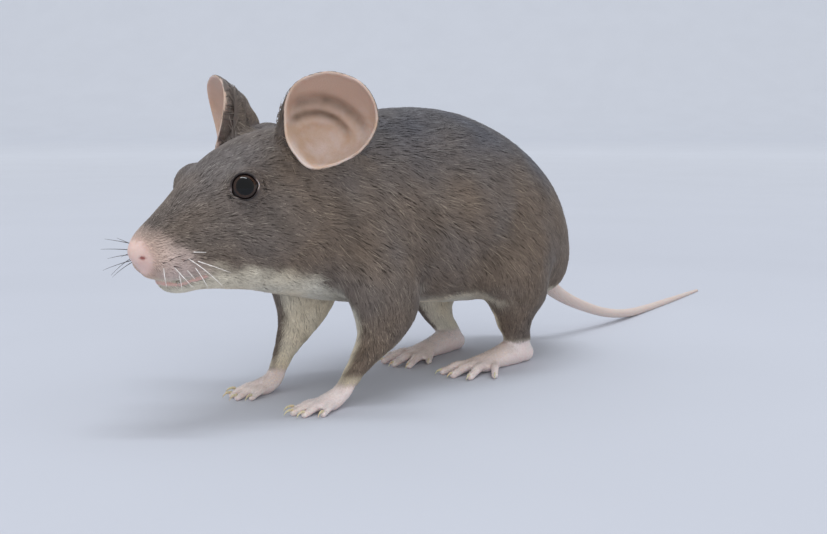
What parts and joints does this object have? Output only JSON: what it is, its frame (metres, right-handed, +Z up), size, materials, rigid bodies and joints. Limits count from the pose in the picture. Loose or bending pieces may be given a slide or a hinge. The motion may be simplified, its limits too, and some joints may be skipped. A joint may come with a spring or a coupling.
{
  "type": "house mouse",
  "caption": "Life-size grey house mouse standing on all fours, with cupped ears, clawed feet and a tail that trails on the floor.",
  "frame": {"origin": "the floor under the middle of the part's bounding box", "axes": "+X towards the nose, +Y to the mouse's left, +Z up"},
  "size_m": [0.1426, 0.032, 0.0426],
  "materials": {
    "coat": "short grey-brown fur with a soft sheen, paler on the chin, throat and belly",
    "bare_skin": "thin pink skin, nearly bare, on the ears, feet and ringed tail",
    "eye": "wet and glossy, near black"
  },
  "bodies": {
    "root": {"head": "coat", "neck": "coat", "torso": "coat", "foreleg_left": "coat", "foreleg_right": "coat", "hindleg_left": "coat", "hindleg_right": "coat", "ear_left": "bare_skin", "ear_right": "bare_skin", "forepaw_left": "bare_skin", "forepaw_right": "bare_skin", "hindfoot_left": "bare_skin", "hindfoot_right": "bare_skin", "tail_root": "bare_skin", "tail_middle": "bare_skin", "tail_tip": "bare_skin", "eye_left": "eye", "eye_right": "eye"}
  },
  "joints": []
}
